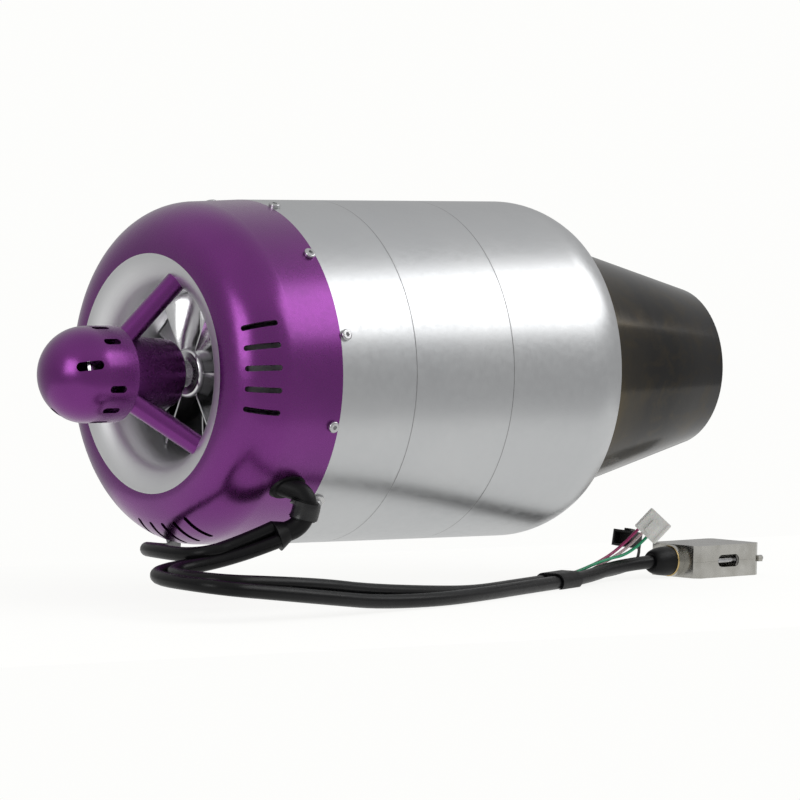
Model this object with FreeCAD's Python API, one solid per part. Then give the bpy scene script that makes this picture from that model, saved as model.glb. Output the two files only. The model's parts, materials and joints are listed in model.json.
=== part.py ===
import FreeCAD, Part
import math
import os
from FreeCAD import Vector

# Small turbojet engine, in millimetres.
#
# The engine's axis is X, the exhaust is at +X and +Z is up. The outlines below use
# two numbers: the station, measured along the axis from the plane of the intake lip,
# and the radius. Angles round the axis start at the top and grow towards -Y.
# Each finished piece is moved so that the origin lies on the axis at the middle of
# the clamp land, the plain part of the casing that a mounting clamp grips.

# ---- driving sizes ----
CASE_R = 85.0           # outside radius of the casing
CASE_WALL = 2.0
CASE_FRONT = 54.0       # station where cowl and casing meet
LAND_FRONT = 99.0       # front and rear of the clamp land
LAND_REAR = 159.4
CASE_REAR = 232.5       # rear edge of the casing
CASE_CORNER_R = 39.0    # radius of the rear shell's rounded corner
LIP_R = 58.6            # radius of the intake lip, at station 0
THROAT = 24.0           # station and radius of the intake throat
THROAT_R = 40.0
COWL_CURVE = 27.0       # station where the cowl's rounded nose ends
COWL_WALL = 2.0
NOZZLE_EXIT = 332.3     # station and outside radius of the nozzle's exit
NOZZLE_EXIT_R = 40.8
NOZZLE_WALL = 1.0
DOME_R = 23.6           # starter dome, a cylinder with a round nose
DOME_CENTRE = -37.6
DOME_WALL = 1.5
WHEEL_R = 56.5          # compressor wheel
WHEEL_BACK = 50.4
TURBINE_R = 61.0
TURBINE_HUB_R = 40.0
SHAFT_R = 8.0
JOURNAL_R = 5.0
STUB_R = 4.0
BEARING_R = 13.0        # bore of the shaft tunnel
BEARING_W = 8.0
CABLE_D = 7.0
FLOOR = -111.0          # height that the free cables lie at
BOLT_D = 3.0            # screws round the casing
BOLTS = 12
BOLT_FIRST = 15.0       # angle of the first screw

# ---- clearances ----
SLIP = 0.05             # radial clearance of spigots and slip fits
RUNNING = 0.03          # radial clearance of a shaft in its bore
TIP_GAP = 0.4           # blade tips to their shroud
BOLT_CLEAR = 0.15       # radial clearance of a screw in a hole that it passes through
FREE = 0.3              # between a loose cable and what it goes through

AXIS = Vector(1, 0, 0)
ZERO = Vector(0, 0, 0)
ORIGIN = (LAND_FRONT + LAND_REAR) / 2


# ---- helpers ----
class Outline:
    """A closed outline in the plane of station and radius, turned round the axis."""

    def __init__(self, x, r):
        self.start = Vector(x, 0, r)
        self.last = self.start
        self.edges = []

    def to(self, *points):
        for x, r in points:
            end = Vector(x, 0, r)
            self.edges.append(Part.makeLine(self.last, end))
            self.last = end
        return self

    def arc(self, middle, end):
        end = Vector(end[0], 0, end[1])
        self.edges.append(Part.Arc(self.last, Vector(middle[0], 0, middle[1]), end).toShape())
        self.last = end
        return self

    def quarter(self, centre, end):
        """A quarter of an ellipse from the last point to end, round centre."""
        centre = Vector(centre[0], 0, centre[1])
        end = Vector(end[0], 0, end[1])
        long_end, short_end = self.last, end
        if (end - centre).Length > (self.last - centre).Length:
            long_end, short_end = end, self.last
        whole = Part.Ellipse(long_end, short_end, centre)
        self.edges.append(Part.ArcOfEllipse(whole, 0, math.pi / 2).toShape())
        self.last = end
        return self

    def turn(self):
        edges = list(self.edges)
        if (self.last - self.start).Length > 1e-6:
            edges.append(Part.makeLine(self.last, self.start))
        return Part.Face(Part.Wire(edges)).revolve(ZERO, AXIS, 360)


def turned(*points):
    """A solid of revolution whose outline is straight between the points."""
    return Outline(*points[0]).to(*points[1:]).turn()


def tube(x0, x1, inner, outer):
    if inner <= 0:
        return turned((x0, 0), (x0, outer), (x1, outer), (x1, 0))
    return turned((x0, inner), (x0, outer), (x1, outer), (x1, inner))


def around(shape, angle):
    copy = shape.copy()
    copy.rotate(ZERO, AXIS, angle)
    return copy


def ring_of(shape, count, first=0.0):
    return [around(shape, first + 360.0 * k / count) for k in range(count)]


def at_angle(x, r, angle):
    a = math.radians(angle)
    return Vector(x, -r * math.sin(a), r * math.cos(a))


def rod(start, end, r):
    run = end - start
    return Part.makeCylinder(r, run.Length, start, run)


def slab(length, width, height, centre=ZERO):
    low = centre - Vector(length / 2, width / 2, height / 2)
    return Part.makeBox(length, width, height, low)


def racetrack(length, width, height):
    """A bar along X with round ends, its middle at the origin and its height along Z."""
    half = length / 2 - width / 2
    bar = slab(2 * half, width, height)
    ends = [Part.makeCylinder(width / 2, height, Vector(s * half, 0, -height / 2)) for s in (-1, 1)]
    return bar.fuse(ends)


def rounded_box(length, width, height, radius):
    """A box with its four upright edges rounded, its middle at the origin."""
    box = slab(length, width, height)
    upright = [e for e in box.Edges if abs(e.tangentAt(e.FirstParameter).z) > 0.9]
    return box.makeFillet(radius, upright)


def placed(shape, origin, x_way, z_way):
    """The shape moved so that its X and Z axes point along x_way and z_way."""
    z = Vector(z_way).normalize()
    x = Vector(x_way)
    x = (x - z * x.dot(z)).normalize()
    y = z.cross(x)
    copy = shape.copy()
    copy.transformShape(FreeCAD.Matrix(
        x.x, y.x, z.x, origin.x,
        x.y, y.y, z.y, origin.y,
        x.z, y.z, z.z, origin.z,
        0, 0, 0, 1))
    return copy


def rounded_route(points):
    """Straight runs joined by tangent arcs, each as large as its two runs allow."""
    points = [Vector(*p) for p in points]
    edges = []
    radii = []
    last = points[0]
    for before, corner, after in zip(points, points[1:], points[2:]):
        into = (corner - before).normalize()
        out = (after - corner).normalize()
        half = into.getAngle(out) / 2
        short = min((corner - before).Length, (after - corner).Length)
        reach = 0.45 * short
        radius = reach / math.tan(half)
        start = corner - into * reach
        end = corner + out * reach
        inward = (out - into).normalize()
        middle = corner + inward * (radius / math.cos(half) - radius)
        edges.append(Part.makeLine(last, start))
        edges.append(Part.Arc(start, middle, end).toShape())
        radii.append(radius)
        last = end
    edges.append(Part.makeLine(last, points[-1]))
    return Part.Wire(edges), radii


def cord(name, points, diameter):
    route, radii = rounded_route(points)
    way = Vector(*points[1]) - Vector(*points[0])
    circle = Part.Wire([Part.makeCircle(diameter / 2, Vector(*points[0]), way)])
    solid = route.makePipeShell([circle], True, False)
    section = math.pi * diameter ** 2 / 4
    print(name, "least radius %.1f, length %.1f, volume over section times length %.4f"
          % (min(radii), route.Length, solid.Volume / (section * route.Length)))
    return solid


def save(name, shape):
    solids = shape if isinstance(shape, list) else [shape]
    moved = Part.Compound([part for solid in solids for part in solid.Solids])
    moved.translate(Vector(-ORIGIN, 0, 0))
    shape = moved.Solids[0] if len(moved.Solids) == 1 else moved
    shape.exportStep("parts/%s.step" % name)
    if not all(part.isValid() for part in moved.Solids):
        print(name, "is not valid")
    print(name, len(moved.Solids), "solids, volume %.0f" % moved.Volume)


# ---- screws ----
def cap_screw(diameter, length, head_r, head_h, socket):
    """A button-headed socket screw. Its head rests on z = 0 and its shank goes down."""
    shank = Part.makeCylinder(diameter / 2, length, Vector(0, 0, -length))
    head = Part.makeCylinder(head_r, head_h)
    head = head.makeFillet(head_h * 0.45, [e for e in head.Edges if e.CenterOfMass.z > head_h * 0.9])
    corners = [Vector(socket * math.cos(k * math.pi / 3), socket * math.sin(k * math.pi / 3), head_h * 0.35)
               for k in range(7)]
    key = Part.Face(Part.makePolygon(corners)).extrude(Vector(0, 0, head_h))
    return shank.fuse(head).cut(key)


def at_station(shape, x, r, angle):
    """A piece modelled with z outward, placed at a station, radius and angle."""
    copy = shape.copy()
    copy.translate(Vector(x, 0, r))
    return around(copy, angle)


# ---- intake ----
LIP_WALL = 3.0
PLATE_FRONT = 43.0      # front plate, which closes the space under the cowl
PLATE_BACK = 46.0
RIM_REAR = 62.0
RIM_R = CASE_R - CASE_WALL - SLIP
RIM_INNER = RIM_R - 3.95
SHROUD_R = WHEEL_R + 0.9
SEAT_STEP = 2.4         # station of the small step that carries the cowl's front edge
COWL_BOLT_X = 50.5
CASE_BOLT_X = 57.0
BOLT_LENGTH = 5.4
BOLT_HEAD_R = 2.9
BOLT_HEAD_H = 1.9
BOLT_SOCKET = 1.2


def airway():
    """Everything inside the intake's inner wall, from well ahead of it to the wheel."""
    line = Outline(-90, 0).to((-90, LIP_R), (0, LIP_R))
    line.quarter((THROAT, LIP_R), (THROAT, THROAT_R))
    line.quarter((THROAT, SHROUD_R), (PLATE_BACK, SHROUD_R))
    return line.to((PLATE_BACK, 0)).turn()


STRUT_R = 5.2
STRUT_ANGLES = [15.0, 135.0, 255.0]
STRUT_ROOT = (-17.0, 20.0)     # station and radius of the strut's axis at the hub
STRUT_FOOT = (6.0, 47.0)       # and where it meets the bellmouth
STRUT_SCREW_R = 2.0
STRUT_SCREW_HEAD_R = 3.5
BOSS_LENGTH = 11.0


def strut_way():
    return Vector(STRUT_FOOT[0] - STRUT_ROOT[0], 0, STRUT_FOOT[1] - STRUT_ROOT[1]).normalize()


def strut_point(beyond):
    """A point on the first strut's axis, so far beyond its foot."""
    return Vector(STRUT_FOOT[0], 0, STRUT_FOOT[1]) + strut_way() * beyond


def bolt_holes(stations, radius):
    """Tools for the screws round the casing: cowl and casing screws take turns."""
    tools = []
    for k in range(BOLTS):
        station = stations[k % 2]
        if station is not None:
            hole = Part.makeCylinder(radius, 12, Vector(station, 0, RIM_INNER - 3))
            tools.append(around(hole, BOLT_FIRST + 360.0 * k / BOLTS))
    return tools


def intake_bellmouth():
    wall = Outline(0, LIP_R)
    wall.quarter((THROAT, LIP_R), (THROAT, THROAT_R))
    wall.quarter((THROAT, SHROUD_R), (PLATE_BACK, SHROUD_R))
    wall.to((PLATE_BACK, RIM_INNER), (RIM_REAR, RIM_INNER), (RIM_REAR, RIM_R), (PLATE_FRONT, RIM_R))
    wall.to((PLATE_FRONT, SHROUD_R - 1.4), (38, SHROUD_R - 7.4), (THROAT + 4, THROAT_R + 4),
            (THROAT, THROAT_R + LIP_WALL))
    wall.quarter((THROAT, LIP_R), (LIP_WALL, LIP_R))
    body = wall.turn()
    step = tube(SEAT_STEP, SEAT_STEP + 2, LIP_R - 2, LIP_R + 2.6)
    boss = rod(strut_point(-6), strut_point(BOSS_LENGTH), STRUT_R + 0.8)
    body = body.fuse([step] + [around(boss, a) for a in STRUT_ANGLES]).cut(airway())
    bore = rod(strut_point(-8), strut_point(BOSS_LENGTH + 1), STRUT_SCREW_R + BOLT_CLEAR)
    holes = [around(bore, a) for a in STRUT_ANGLES]
    holes += bolt_holes((CASE_BOLT_X, COWL_BOLT_X), BOLT_D / 2)
    return body.cut(holes)


VENT_GROUPS = [85.3, 175.3, 265.3]
VENTS = 5
VENT_STEP = 7.6
VENT_FRONT = 4.6               # stations of a vent's two ends
VENT_REAR = 19.4
VENT_WIDTH = 2.7
SLEEVE_R = 5.0
HOLE_R = 6.6


def cowl_nose_radius():
    return CASE_R - 1.0


def cowl_rear_radius(x):
    """Outside radius of the cowl behind its rounded nose."""
    along = (x - COWL_CURVE) / (CASE_FRONT - COWL_CURVE)
    return cowl_nose_radius() + (CASE_R - cowl_nose_radius()) * along


def cowl_curve_radius(x):
    """Outside radius of the cowl's rounded nose at a station."""
    along = (COWL_CURVE - x) / COWL_CURVE
    return LIP_R + (cowl_nose_radius() - LIP_R) * math.sqrt(1 - along ** 2)


def cowl_shell():
    nose_r = cowl_nose_radius()
    shell = Outline(0, LIP_R + SLIP)
    shell.quarter((COWL_CURVE, LIP_R + SLIP), (COWL_CURVE, nose_r))
    shell.to((CASE_FRONT, CASE_R), (CASE_FRONT, CASE_R - CASE_WALL))
    shell.to((PLATE_FRONT - 1, CASE_R - CASE_WALL), (COWL_CURVE, nose_r - COWL_WALL))
    shell.quarter((COWL_CURVE, LIP_R + SLIP), (COWL_WALL, LIP_R + SLIP))
    return shell.turn()


def intake_cowl():
    body = cowl_shell()
    front = Vector(VENT_FRONT, 0, cowl_curve_radius(VENT_FRONT))
    rear = Vector(VENT_REAR, 0, cowl_curve_radius(VENT_REAR))
    run = rear - front
    middle = (front + rear) * 0.5
    vent = placed(racetrack(run.Length, VENT_WIDTH, 16), middle, run, Vector(-run.z, 0, run.x))
    tools = [around(vent, centre + VENT_STEP * (k - (VENTS - 1) / 2))
             for centre in VENT_GROUPS for k in range(VENTS)]
    tools += bolt_holes((None, COWL_BOLT_X), BOLT_D / 2 + BOLT_CLEAR)
    tools += [hole_tool(HOLE_R, SLEEVE_ROUTE), hole_tool(HOLE_R, FAR_ROUTE)]
    tools.append(at_station(Part.makeCylinder(FITTING_THREAD_R + BOLT_CLEAR, 12), FITTING_X,
                            CASE_R - 8, FITTING_ANGLE))
    return body.cut(tools)


# ---- casing ----
SPIGOT = 6.0            # length of the lips that join the casing's three lengths
LIP_THICK = 1.0
PAN_X = 224.0           # rear plate that carries the nozzle and the guide vanes
PAN_WALL = 2.0
PAN_HOLE_R = TURBINE_R + 1.0
PAN_MOUTH_R = CASE_R - 7.6
NOZZLE_FLANGE_R = PAN_MOUTH_R - 1.4
NOZZLE_FLANGE = 1.5
NOZZLE_BOLTS = 8
NOZZLE_BOLT_FIRST = 22.5
NOZZLE_BOLT_R = NOZZLE_FLANGE_R - 2.8
NOZZLE_BOLT_D = 2.5
NOZZLE_ROOT_R = NOZZLE_BOLT_R - 3.8    # outside radius of the nozzle at its flange
CORNER_RUN = 20.0       # how far ahead of the rear edge the corner starts


def casing_length(front, rear, spigot):
    inner = CASE_R - CASE_WALL
    outline = [(front, inner), (front, CASE_R), (rear, CASE_R)]
    if spigot:
        low = inner - LIP_THICK
        outline += [(rear, inner - SLIP), (rear + SPIGOT, inner - SLIP), (rear + SPIGOT, low - SLIP),
                    (rear - SPIGOT, low - SLIP), (rear - SPIGOT, inner)]
    else:
        outline += [(rear, inner)]
    return turned(*outline)


def casing_front_ring():
    ring = casing_length(CASE_FRONT, LAND_FRONT, True)
    return ring.cut(bolt_holes((CASE_BOLT_X, None), BOLT_D / 2 + BOLT_CLEAR))


def casing_barrel():
    return casing_length(LAND_FRONT, LAND_REAR, True)


def on_corner(x, thick=0.0):
    """Radius of the rear shell's rounded corner at a station, or of its inner face."""
    start = CASE_REAR - CORNER_RUN
    big = CASE_CORNER_R - thick
    return CASE_R - CASE_CORNER_R + math.sqrt(big ** 2 - (x - start) ** 2)


def casing_rear_shell():
    start = CASE_REAR - CORNER_RUN
    inner = CASE_R - CASE_WALL
    shell = Outline(LAND_REAR, inner).to((LAND_REAR, CASE_R), (start, CASE_R))
    middle = start + CORNER_RUN / 2
    shell.arc((middle, on_corner(middle)), (CASE_REAR, on_corner(CASE_REAR)))
    shell.to((CASE_REAR, PAN_MOUTH_R), (PAN_X + PAN_WALL, PAN_MOUTH_R))
    shell.to((PAN_X + PAN_WALL, PAN_HOLE_R), (PAN_X, PAN_HOLE_R), (PAN_X, on_corner(PAN_X, CASE_WALL)))
    middle = (start + PAN_X) / 2
    shell.arc((middle, on_corner(middle, CASE_WALL)), (start, inner))
    hole = Part.makeCylinder(NOZZLE_BOLT_D / 2, 12, Vector(PAN_X - 4, 0, NOZZLE_BOLT_R), AXIS)
    return shell.turn().cut(ring_of(hole, NOZZLE_BOLTS, NOZZLE_BOLT_FIRST))


def nozzle_outer(x):
    root = PAN_X + PAN_WALL + NOZZLE_FLANGE
    return NOZZLE_ROOT_R + (NOZZLE_EXIT_R - NOZZLE_ROOT_R) * (x - root) / (NOZZLE_EXIT - root)


def exhaust_nozzle():
    face = PAN_X + PAN_WALL
    root = face + NOZZLE_FLANGE
    cone = turned((face, PAN_HOLE_R + 2), (face, NOZZLE_FLANGE_R), (root, NOZZLE_FLANGE_R),
                  (root, NOZZLE_ROOT_R), (NOZZLE_EXIT, NOZZLE_EXIT_R),
                  (NOZZLE_EXIT, NOZZLE_EXIT_R - NOZZLE_WALL), (root, NOZZLE_ROOT_R - NOZZLE_WALL),
                  (root, PAN_HOLE_R + 2))
    hole = Part.makeCylinder(NOZZLE_BOLT_D / 2 + BOLT_CLEAR, 12, Vector(face - 4, 0, NOZZLE_BOLT_R), AXIS)
    return cone.cut(ring_of(hole, NOZZLE_BOLTS, NOZZLE_BOLT_FIRST))


def nozzle_screws():
    screw = cap_screw(NOZZLE_BOLT_D, 3.4, 2.1, 1.6, 0.8)
    seat = Vector(PAN_X + PAN_WALL + NOZZLE_FLANGE, 0, NOZZLE_BOLT_R)
    return ring_of(placed(screw, seat, Vector(0, 0, 1), AXIS), NOZZLE_BOLTS, NOZZLE_BOLT_FIRST)


BULLET_FRONT = 219.0
BULLET_R = 37.0
BULLET_TIP = 280.0
BULLET_VANES = 3
VANE_FRONT = 234.0
VANE_REAR = 256.0
VANE_THICK = 1.2


def tail_bullet():
    """The nozzle's inner cone, with the three vanes that hold it in the nozzle."""
    outer = Outline(BULLET_FRONT, 0).to((BULLET_FRONT, BULLET_R))
    outer.arc((252, 26), (BULLET_TIP, 2)).to((BULLET_TIP, 0))
    inner = Outline(BULLET_FRONT - 1, 0).to((BULLET_FRONT - 1, BULLET_R - 1.2))
    inner.arc((250, 25.2), (BULLET_TIP - 3, 1)).to((BULLET_TIP - 3, 0))
    gap = NOZZLE_WALL + SLIP
    bore = turned((VANE_FRONT - 2, 0), (VANE_FRONT - 2, nozzle_outer(VANE_FRONT - 2) - gap),
                  (VANE_REAR + 2, nozzle_outer(VANE_REAR + 2) - gap), (VANE_REAR + 2, 0))
    vane = slab(VANE_REAR - VANE_FRONT, VANE_THICK, 60,
                Vector((VANE_FRONT + VANE_REAR) / 2, 0, 45))
    vanes = [v.common(bore) for v in ring_of(vane, BULLET_VANES, 75)]
    return outer.turn().fuse(vanes).cut(inner.turn())


# ---- turning parts ----
HUB_NOSE = 21.0
HUB_NOSE_R = 12.5
BLADES = 12
BLADE_THICK = 0.9
BLADE_FRONT = 23.0
SPLITTER_FRONT = 31.0


def wheel_region(front):
    """The space that the compressor's blades may fill."""
    tip = THROAT_R - TIP_GAP
    line = Outline(front, 0).to((front, tip))
    if front < THROAT:
        line.to((THROAT, tip))
        line.quarter((THROAT, SHROUD_R), (PLATE_BACK + TIP_GAP, SHROUD_R))
    else:
        drop = math.sqrt(1 - ((front - THROAT) / (PLATE_BACK + TIP_GAP - THROAT)) ** 2)
        height = SHROUD_R - (SHROUD_R - tip) * drop
        line = Outline(front, 0).to((front, height))
        late = (front + PLATE_BACK) / 2
        drop = math.sqrt(1 - ((late - THROAT) / (PLATE_BACK + TIP_GAP - THROAT)) ** 2)
        line.arc((late, SHROUD_R - (SHROUD_R - tip) * drop), (PLATE_BACK + TIP_GAP, SHROUD_R))
    line.to((WHEEL_BACK - 1, SHROUD_R), (WHEEL_BACK - 1, 0))
    return line.turn().common(tube(front - 1, WHEEL_BACK, 0, WHEEL_R))


def blade_slab(front):
    """A blade before trimming, leaning into the turn at its front and back at its rear."""
    sections = []
    for x, angle in ((front, -34), (front + 5, -20), ((front + WHEEL_BACK) / 2, -8), (WHEEL_BACK, 0)):
        strip = Part.makePolygon([Vector(x, y, z) for y, z in (
            (-BLADE_THICK / 2, 3), (BLADE_THICK / 2, 3), (BLADE_THICK / 2, WHEEL_R + 5),
            (-BLADE_THICK / 2, WHEEL_R + 5), (-BLADE_THICK / 2, 3))])
        sections.append(around(strip, angle))
    return Part.makeLoft(sections, True)


def compressor_wheel():
    hub = Outline(HUB_NOSE, STUB_R).to((HUB_NOSE, HUB_NOSE_R - 2))
    hub.quarter((HUB_NOSE + 3, HUB_NOSE_R - 2), (HUB_NOSE + 3, HUB_NOSE_R))
    hub.to((HUB_NOSE + 8, HUB_NOSE_R + 1.2))
    hub.quarter((HUB_NOSE + 8, WHEEL_R), (WHEEL_BACK - 1.4, WHEEL_R))
    hub.to((WHEEL_BACK, WHEEL_R), (WHEEL_BACK, 14), (WHEEL_BACK + 3.4, 9.5), (WHEEL_BACK + 3.4, STUB_R))
    wheel = hub.turn()
    fronts = [BLADE_FRONT, SPLITTER_FRONT]
    blades = [blade_slab(front).common(wheel_region(front)) for front in fronts]
    sets = [around(blades[k % 2], 360.0 * k / BLADES) for k in range(BLADES)]
    bore = tube(HUB_NOSE - 10, WHEEL_BACK + 10, 0, STUB_R + RUNNING)
    return wheel.fuse(sets).cut(bore)


NUT_FRONT = 15.0


def compressor_nut():
    """A domed nut that the starter's clutch grips."""
    nut = Outline(NUT_FRONT, 0).to((NUT_FRONT, 2.5))
    nut.quarter((NUT_FRONT + 3, 2.5), (NUT_FRONT + 3, 5.6))
    nut.to((HUB_NOSE, 6.8), (HUB_NOSE, 0))
    return nut.turn().cut(tube(NUT_FRONT + 3, HUB_NOSE + 1, 0, STUB_R))


FRONT_BEARING = 66.0    # station of each bearing's front face
REAR_BEARING = 176.0
SHAFT_REAR = 219.0
TURBINE_FRONT = 204.0
TURBINE_THICK = 10.0
SHOULDER = 1.0


def rotor_shaft():
    front = FRONT_BEARING + BEARING_W
    return turned((NUT_FRONT + 3, 0), (NUT_FRONT + 3, STUB_R), (WHEEL_BACK + 3.4, STUB_R),
                  (WHEEL_BACK + 3.4, JOURNAL_R), (front, JOURNAL_R), (front, 6.4),
                  (front + SHOULDER, SHAFT_R), (REAR_BEARING - SHOULDER, SHAFT_R),
                  (REAR_BEARING, 6.4), (REAR_BEARING, JOURNAL_R), (TURBINE_FRONT, JOURNAL_R),
                  (TURBINE_FRONT, STUB_R), (SHAFT_REAR, STUB_R), (SHAFT_REAR, 0))


BALLS = 8
BALL_R = 1.8
BALL_GAP = 0.12         # from a ball to its grooves and its cage
PITCH_R = 8.9
INNER_RING_R = 7.3
OUTER_RING_R = 10.6


def groove(x, gap):
    middle = Vector(x + BEARING_W / 2, 0, 0)
    return Part.makeTorus(PITCH_R, BALL_R + gap, middle, AXIS)


def bearing_outer_ring(x):
    return tube(x, x + BEARING_W, OUTER_RING_R, BEARING_R - RUNNING).cut(groove(x, BALL_GAP))


def bearing_inner_ring(x):
    return tube(x, x + BEARING_W, JOURNAL_R, INNER_RING_R).cut(groove(x, BALL_GAP))


def bearing_balls(x):
    """The balls and the cage that spaces them, each a solid of its own."""
    middle = Vector(x + BEARING_W / 2, 0, PITCH_R)
    cage = tube(x + 1.4, x + BEARING_W - 1.4, PITCH_R - 0.7, PITCH_R + 0.7)
    cage = cage.cut(ring_of(Part.makeSphere(BALL_R + BALL_GAP, middle), BALLS))
    return [cage] + ring_of(Part.makeSphere(BALL_R, middle), BALLS)


def curved_blade(front, length, camber, root, tip, thick):
    """A plate bent to an arc along the axis and drawn out along its radius."""
    rear = front + length
    line = [Vector(front, 0, root), Vector(front + length * 0.45, camber, root),
            Vector(rear, camber * 0.2, root)]
    outer = Part.Arc(*line).toShape()
    inner = Part.Arc(*[p + Vector(0, thick, 0) for p in line]).toShape()
    ends = [Part.makeLine(line[k], line[k] + Vector(0, thick, 0)) for k in (0, 2)]
    face = Part.Face(Part.Wire([outer, ends[1], inner, ends[0]]))
    return face.extrude(Vector(0, 0, tip - root))


def turbine_wheel():
    rear = TURBINE_FRONT + TURBINE_THICK
    disc = turned((TURBINE_FRONT, STUB_R), (TURBINE_FRONT, 9), (TURBINE_FRONT + 1.5, 22),
                  (TURBINE_FRONT, TURBINE_HUB_R - 3), (TURBINE_FRONT, TURBINE_HUB_R),
                  (rear, TURBINE_HUB_R), (rear, TURBINE_HUB_R - 3), (rear - 1.5, 22), (rear, 9), (rear, STUB_R))
    blade = curved_blade(TURBINE_FRONT + 0.5, TURBINE_THICK - 1, 3.6, TURBINE_HUB_R - 1.5, TURBINE_R + 3, 1.1)
    blade = blade.common(tube(TURBINE_FRONT - 5, rear + 5, 0, TURBINE_R))
    bore = tube(TURBINE_FRONT - 5, rear + 5, 0, STUB_R + RUNNING)
    return disc.fuse(ring_of(blade, 23)).cut(bore)


def turbine_nut():
    front = TURBINE_FRONT + TURBINE_THICK
    corners = [Vector(front, 7 * math.cos(k * math.pi / 3), 7 * math.sin(k * math.pi / 3)) for k in range(7)]
    nut = Part.Face(Part.makePolygon(corners)).extrude(Vector(4.5, 0, 0))
    return nut.cut(tube(front - 1, front + 6, 0, STUB_R))


# ---- core ----
DIFFUSER_FRONT = PLATE_BACK
DIFFUSER_FACE = 50.0
DIFFUSER_BACK = 56.0
DIFFUSER_DISC_R = RIM_INNER - 7.0
DIFFUSER_VANE_R = WHEEL_R + 2.0
DIFFUSER_BORE_R = 20.0
RADIAL_VANES = 15
AXIAL_VANES = 30
TUNNEL_WALL = 3.0
TUNNEL_REAR = 190.0
FLANGE_R = 30.0


def diffuser():
    disc = turned((DIFFUSER_FACE, WHEEL_R + 0.9), (DIFFUSER_FACE, DIFFUSER_DISC_R),
                  (DIFFUSER_BACK, DIFFUSER_DISC_R), (DIFFUSER_BACK, DIFFUSER_BORE_R),
                  (WHEEL_BACK + 4, DIFFUSER_BORE_R), (WHEEL_BACK + 0.8, 30), (WHEEL_BACK + 0.8, WHEEL_R + 0.9))
    face = Part.Face(Part.makePolygon([Vector(DIFFUSER_FRONT, y, z) for y, z in (
        (0, DIFFUSER_VANE_R), (7.5, DIFFUSER_DISC_R), (9.5, DIFFUSER_DISC_R - 1),
        (0.8, DIFFUSER_VANE_R - 0.2), (0, DIFFUSER_VANE_R))]))
    wedge = face.extrude(Vector(DIFFUSER_FACE - DIFFUSER_FRONT + 0.5, 0, 0))
    axial = slab(14, 1.2, RIM_INNER - SLIP - DIFFUSER_DISC_R + 1.5,
                 Vector(DIFFUSER_FACE + 6, 0, (RIM_INNER - SLIP + DIFFUSER_DISC_R - 1.5) / 2))
    band = tube(DIFFUSER_BACK - 1, DIFFUSER_FACE + 13, DIFFUSER_DISC_R - 2, DIFFUSER_DISC_R)
    limit = tube(DIFFUSER_FRONT, RIM_REAR + 5, 0, RIM_INNER - SLIP)
    vanes = ring_of(wedge, RADIAL_VANES, 12) + ring_of(axial, AXIAL_VANES, 6)
    return disc.fuse(band).fuse(vanes).common(limit)


def shaft_tunnel():
    outer = BEARING_R + TUNNEL_WALL
    return turned((DIFFUSER_BACK, BEARING_R), (DIFFUSER_BACK, FLANGE_R), (DIFFUSER_BACK + 4, FLANGE_R),
                  (DIFFUSER_BACK + 4, outer), (TUNNEL_REAR, outer), (TUNNEL_REAR, BEARING_R))


LINER_FRONT = 80.0
LINER_R = CASE_R - 15.0
LINER_WALL = 0.6
INNER_LINER_R = 30.0
VANE_RING_FRONT = 186.0
VANE_RING_REAR = 222.0
SHROUD_WALL = 2.5
WEB_X = 188.0
VAPORISERS = 12
VAPORISER_R = 3.0
VAPORISER_RING_R = LINER_R - 10.0


def combustor_outer_liner():
    lap = TURBINE_R + TIP_GAP + SHROUD_WALL + SLIP
    wall = turned((LINER_FRONT, LINER_R - LINER_WALL), (LINER_FRONT, LINER_R), (166, LINER_R),
                  (184, lap + LINER_WALL), (192, lap + LINER_WALL), (192, lap), (184, lap),
                  (166, LINER_R - LINER_WALL))
    holes = []
    for station, first in ((100, 0), (128, 15), (152, 0)):
        drill = Part.makeCylinder(2.5, 8, Vector(station, 0, LINER_R - 4))
        holes += ring_of(drill, 12, first)
    return wall.cut(holes)


def combustor_inner_liner():
    wall = tube(LINER_FRONT, WEB_X, INNER_LINER_R - LINER_WALL, INNER_LINER_R)
    holes = []
    for station, first in ((104, 0), (140, 22.5)):
        drill = Part.makeCylinder(2, 6, Vector(station, 0, INNER_LINER_R - 3))
        holes += ring_of(drill, 8, first)
    return wall.cut(holes)


IGNITER_R = 3.0
IGNITER_RING_R = VAPORISER_RING_R - 14.0
IGNITER_ANGLE = 60.0


def combustor_cap():
    cap = tube(LINER_FRONT - 1, LINER_FRONT, INNER_LINER_R - LINER_WALL, LINER_R)
    bore = Part.makeCylinder(VAPORISER_R + SLIP, 4, Vector(LINER_FRONT - 3, 0, VAPORISER_RING_R), AXIS)
    plug = Part.makeCylinder(IGNITER_R + SLIP, 4, Vector(LINER_FRONT - 3, 0, IGNITER_RING_R), AXIS)
    return cap.cut(ring_of(bore, VAPORISERS) + [around(plug, IGNITER_ANGLE)])


def vaporiser_tubes():
    start = Vector(LINER_FRONT - 3, 0, VAPORISER_RING_R)
    stick = Part.makeCylinder(VAPORISER_R, 72, start, AXIS)
    stick = stick.cut(Part.makeCylinder(VAPORISER_R - 0.5, 74, start - Vector(1, 0, 0), AXIS))
    return ring_of(stick, VAPORISERS)


FUEL_RING_X = 70.0
FUEL_TUBE_R = 1.5


def fuel_ring():
    """The fuel manifold, with a jet into the mouth of each vaporiser tube."""
    ring = Part.makeTorus(VAPORISER_RING_R, FUEL_TUBE_R, Vector(FUEL_RING_X, 0, 0), AXIS)
    jet = Part.makeCylinder(0.8, LINER_FRONT - FUEL_RING_X, Vector(FUEL_RING_X, 0, VAPORISER_RING_R), AXIS)
    leg = Part.makeCylinder(1.2, FUEL_RING_X - DIFFUSER_BACK, Vector(DIFFUSER_BACK, 0, VAPORISER_RING_R), AXIS)
    return ring.fuse(ring_of(jet, VAPORISERS) + ring_of(leg, 3, 15))


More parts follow.
